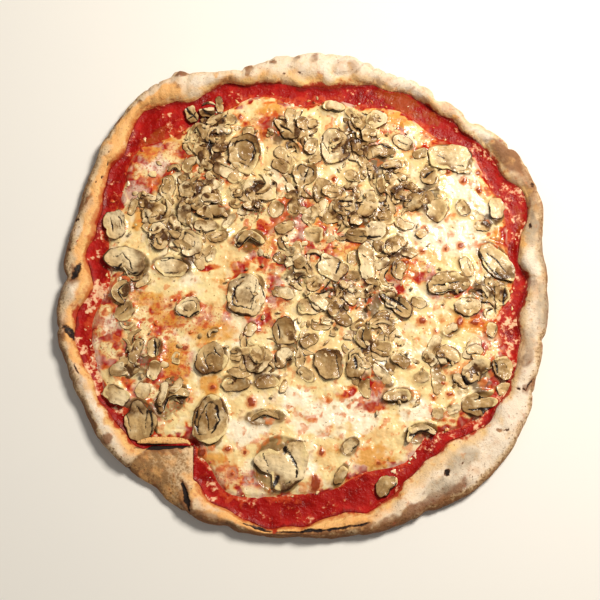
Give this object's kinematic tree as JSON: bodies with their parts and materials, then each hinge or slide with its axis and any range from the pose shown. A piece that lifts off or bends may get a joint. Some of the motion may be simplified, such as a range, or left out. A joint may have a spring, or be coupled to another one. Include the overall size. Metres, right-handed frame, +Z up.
{
  "type": "mushroom pizza",
  "caption": "Round flat baked pizza with an uneven browned rim, tomato sauce, melted mozzarella and scattered sliced mushrooms, with the rim folded inwards at one place.",
  "frame": {"origin": "Under the middle of the pizza, on the flat underside that rests on the table.", "axes": "+Z up through the toppings. +Y points to the side of the rim that is farthest in the usual view, +X to the right of it; the fold in the rim is at the left front, at 235 degrees counter-clockwise from +X."},
  "size_m": [0.327, 0.3321, 0.014],
  "materials": {
    "dough": "matte, floury, browned in places",
    "tomato": "wet, semi-gloss",
    "cheese": "oily, semi-gloss",
    "mushroom": "moist, satin"
  },
  "bodies": {
    "root": {"crust": "dough", "tomato_sauce": "tomato", "mozzarella": "cheese", "mushroom_whole_01": "mushroom", "mushroom_disc_02": "mushroom", "mushroom_leaf_03": "mushroom", "mushroom_slab_04": "mushroom", "mushroom_cap_05": "mushroom", "mushroom_curl_06": "mushroom", "mushroom_slab_07": "mushroom", "mushroom_cap_08": "mushroom", "mushroom_leaf_09": "mushroom", "mushroom_disc_10": "mushroom", "mushroom_disc_11": "mushroom", "mushroom_slab_12": "mushroom", "mushroom_cap_13": "mushroom", "mushroom_slab_14": "mushroom", "mushroom_stem_15": "mushroom", "mushroom_disc_16": "mushroom", "mushroom_slab_17": "mushroom", "mushroom_slab_18": "mushroom", "mushroom_slab_19": "mushroom", "mushroom_cap_20": "mushroom", "mushroom_slab_21": "mushroom", "mushroom_curl_22": "mushroom", "mushroom_whole_23": "mushroom", "mushroom_cap_24": "mushroom", "mushroom_disc_25": "mushroom", "mushroom_disc_26": "mushroom", "mushroom_cap_27": "mushroom", "mushroom_disc_28": "mushroom", "mushroom_slab_29": "mushroom", "mushroom_whole_30": "mushroom", "mushroom_stem_31": "mushroom", "mushroom_stem_32": "mushroom", "mushroom_slab_33": "mushroom", "mushroom_slab_34": "mushroom", "mushroom_curl_35": "mushroom", "mushroom_disc_36": "mushroom", "mushroom_disc_37": "mushroom", "mushroom_slab_38": "mushroom", "mushroom_disc_39": "mushroom", "mushroom_disc_40": "mushroom", "mushroom_cap_41": "mushroom", "mushroom_slab_42": "mushroom", "mushroom_slab_43": "mushroom", "mushroom_disc_44": "mushroom", "mushroom_curl_45": "mushroom", "mushroom_whole_46": "mushroom", "mushroom_cap_47": "mushroom", "mushroom_cap_48": "mushroom", "mushroom_stem_49": "mushroom", "mushroom_whole_50": "mushroom", "mushroom_curl_51": "mushroom", "mushroom_cap_52": "mushroom", "mushroom_disc_53": "mushroom", "mushroom_cap_54": "mushroom", "mushroom_leaf_55": "mushroom", "mushroom_slab_56": "mushroom", "mushroom_disc_57": "mushroom"}
  },
  "joints": []
}
